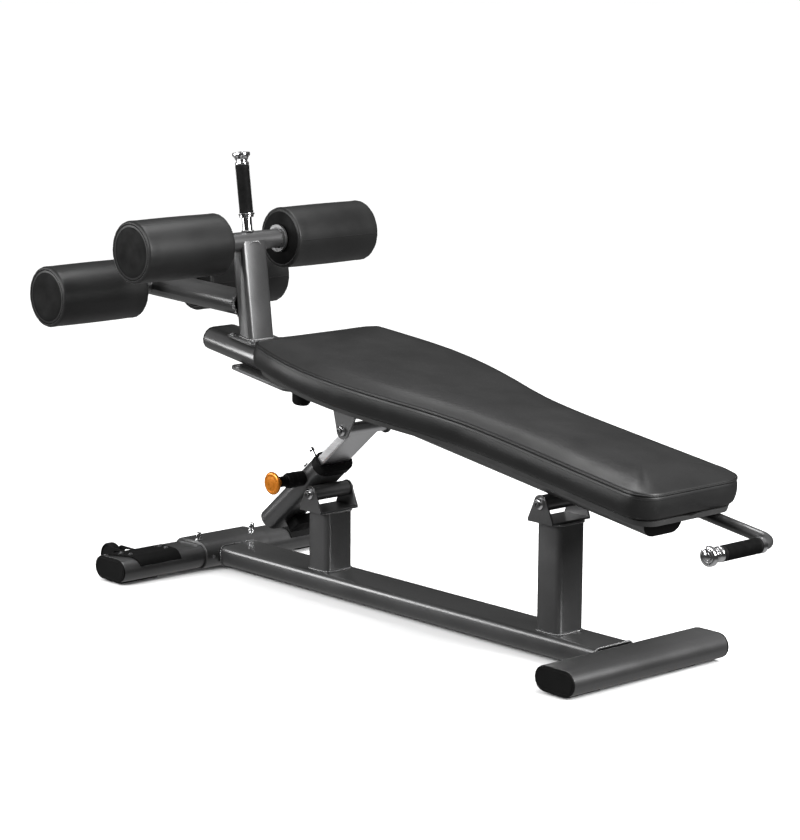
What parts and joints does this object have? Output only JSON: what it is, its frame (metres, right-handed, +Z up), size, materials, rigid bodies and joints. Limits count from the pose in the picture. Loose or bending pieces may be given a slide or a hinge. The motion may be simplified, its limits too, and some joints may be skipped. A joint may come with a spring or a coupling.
{
  "type": "decline sit-up bench",
  "caption": "Decline sit-up bench: contoured pad on a tilting beam over a flat-oval floor frame, with a telescoping strut, orange pull pin, foam ankle rollers and hand grips.",
  "frame": {"origin": "on the floor, under the middle of the whole object's outline", "axes": "+X along the bench to its low head end, +Y across it, +Z up"},
  "size_m": [2.1014, 0.74, 1.072],
  "materials": {
    "charcoal_paint": "metallic charcoal powder coat, satin",
    "black_plastic": "fine-grained moulded plastic",
    "black_rubber": "matte rubber",
    "black_vinyl": "satin upholstery vinyl with a fine grain",
    "chrome": "polished chrome",
    "brushed_steel": "brushed lengthwise",
    "orange_knob": "anodised orange"
  },
  "bodies": {
    "frame": {"head_cross_bar": "charcoal_paint", "head_cross_bar_cap_near": "black_plastic", "head_cross_bar_cap_far": "black_plastic", "foot_cross_bar": "charcoal_paint", "foot_cross_bar_cap_near": "black_plastic", "foot_cross_bar_cap_far": "black_plastic", "head_pad_near": "black_rubber", "head_pad_far": "black_rubber", "foot_pad_near": "black_rubber", "foot_pad_far": "black_rubber", "main_rail": "charcoal_paint", "foot_bar_saddle": "charcoal_paint", "saddle_bolt_near": "chrome", "saddle_bolt_far": "chrome", "wheel_bracket_near": "black_plastic", "wheel_bracket_far": "black_plastic", "wheel_axle_near": "brushed_steel", "wheel_axle_far": "brushed_steel", "head_post": "charcoal_paint", "head_post_clevis": "charcoal_paint", "head_pivot_bolt": "chrome", "strut_post": "charcoal_paint", "strut_post_clevis": "charcoal_paint", "strut_pivot_bolt": "chrome"},
    "bench": {"bench_beam": "charcoal_paint", "beam_cap_foot": "black_plastic", "beam_cap_head": "black_plastic", "bench_pivot_tube": "charcoal_paint", "seat_plate": "charcoal_paint", "beam_stop": "black_rubber", "strut_top_clevis": "charcoal_paint", "strut_top_bolt": "chrome", "pad_board": "black_plastic", "bench_pad": "black_vinyl", "leg_base_plate": "charcoal_paint", "leg_post": "charcoal_paint", "upper_cross_tube": "charcoal_paint", "lower_cross_tube": "charcoal_paint", "foot_arm": "charcoal_paint", "upper_handle_tube": "chrome", "upper_handle_grip": "black_rubber", "upper_handle_cap": "chrome", "lower_handle_tube": "charcoal_paint", "lower_handle_grip": "black_rubber", "lower_handle_cap": "chrome"},
    "sleeve": {"strut_sleeve": "charcoal_paint", "sleeve_pivot_tube": "charcoal_paint", "strut_collar": "black_plastic", "sleeve_stop": "black_rubber", "pin_housing": "black_plastic"},
    "strut": {"strut_bar": "brushed_steel", "strut_slider": "black_plastic"},
    "pin": {"pull_pin": "brushed_steel", "pull_knob": "orange_knob"},
    "wheel_near": {"transport_wheel_near": "black_rubber"},
    "wheel_far": {"transport_wheel_far": "black_rubber"},
    "upper_roller_near": {"upper_roller_near": "black_vinyl"},
    "upper_roller_far": {"upper_roller_far": "black_vinyl"},
    "lower_roller_near": {"lower_roller_near": "black_vinyl"},
    "lower_roller_far": {"lower_roller_far": "black_vinyl"}
  },
  "joints": [
    {"name": "bench_tilt", "type": "hinge", "parent": "frame", "child": "bench", "pos_m": [0.487, 0, 0.363], "axis": [0, 1, 0], "range_deg": [0, 10]},
    {"name": "sleeve_swing", "type": "hinge", "parent": "frame", "child": "sleeve", "pos_m": [-0.3085, 0, 0.2556], "axis": [0, 1, 0], "range_deg": [-14, 0]},
    {"name": "strut_slide", "type": "slide", "parent": "sleeve", "child": "strut", "axis": [0.7615, 0, 0.6481], "range_m": [0, 0.108]},
    {"name": "pin_pull", "type": "slide", "parent": "sleeve", "child": "pin", "axis": [0, -1, 0], "range_m": [0, 0.012], "stiffness_N_per_m": 1500, "springref_m": -0.006},
    {"name": "upper_near_spin", "type": "hinge", "parent": "bench", "child": "upper_roller_near", "pos_m": [-0.62, 0, 0.847], "axis": [0, 1, 0], "continuous": true},
    {"name": "upper_far_spin", "type": "hinge", "parent": "bench", "child": "upper_roller_far", "pos_m": [-0.62, 0, 0.847], "axis": [0, 1, 0], "continuous": true},
    {"name": "lower_near_spin", "type": "hinge", "parent": "bench", "child": "lower_roller_near", "pos_m": [-0.973, 0, 0.699], "axis": [0, 1, 0], "continuous": true},
    {"name": "lower_far_spin", "type": "hinge", "parent": "bench", "child": "lower_roller_far", "pos_m": [-0.973, 0, 0.699], "axis": [0, 1, 0], "continuous": true},
    {"name": "wheel_near_spin", "type": "hinge", "parent": "frame", "child": "wheel_near", "pos_m": [-0.8265, 0, 0.04], "axis": [0, 1, 0], "continuous": true},
    {"name": "wheel_far_spin", "type": "hinge", "parent": "frame", "child": "wheel_far", "pos_m": [-0.8265, 0, 0.04], "axis": [0, 1, 0], "continuous": true}
  ],
  "couplings": [
    {"joint": "sleeve_swing", "follows": "bench_tilt", "ratio": -1.3907},
    {"joint": "strut_slide", "follows": "bench_tilt", "m_per_rad": 0.618}
  ]
}
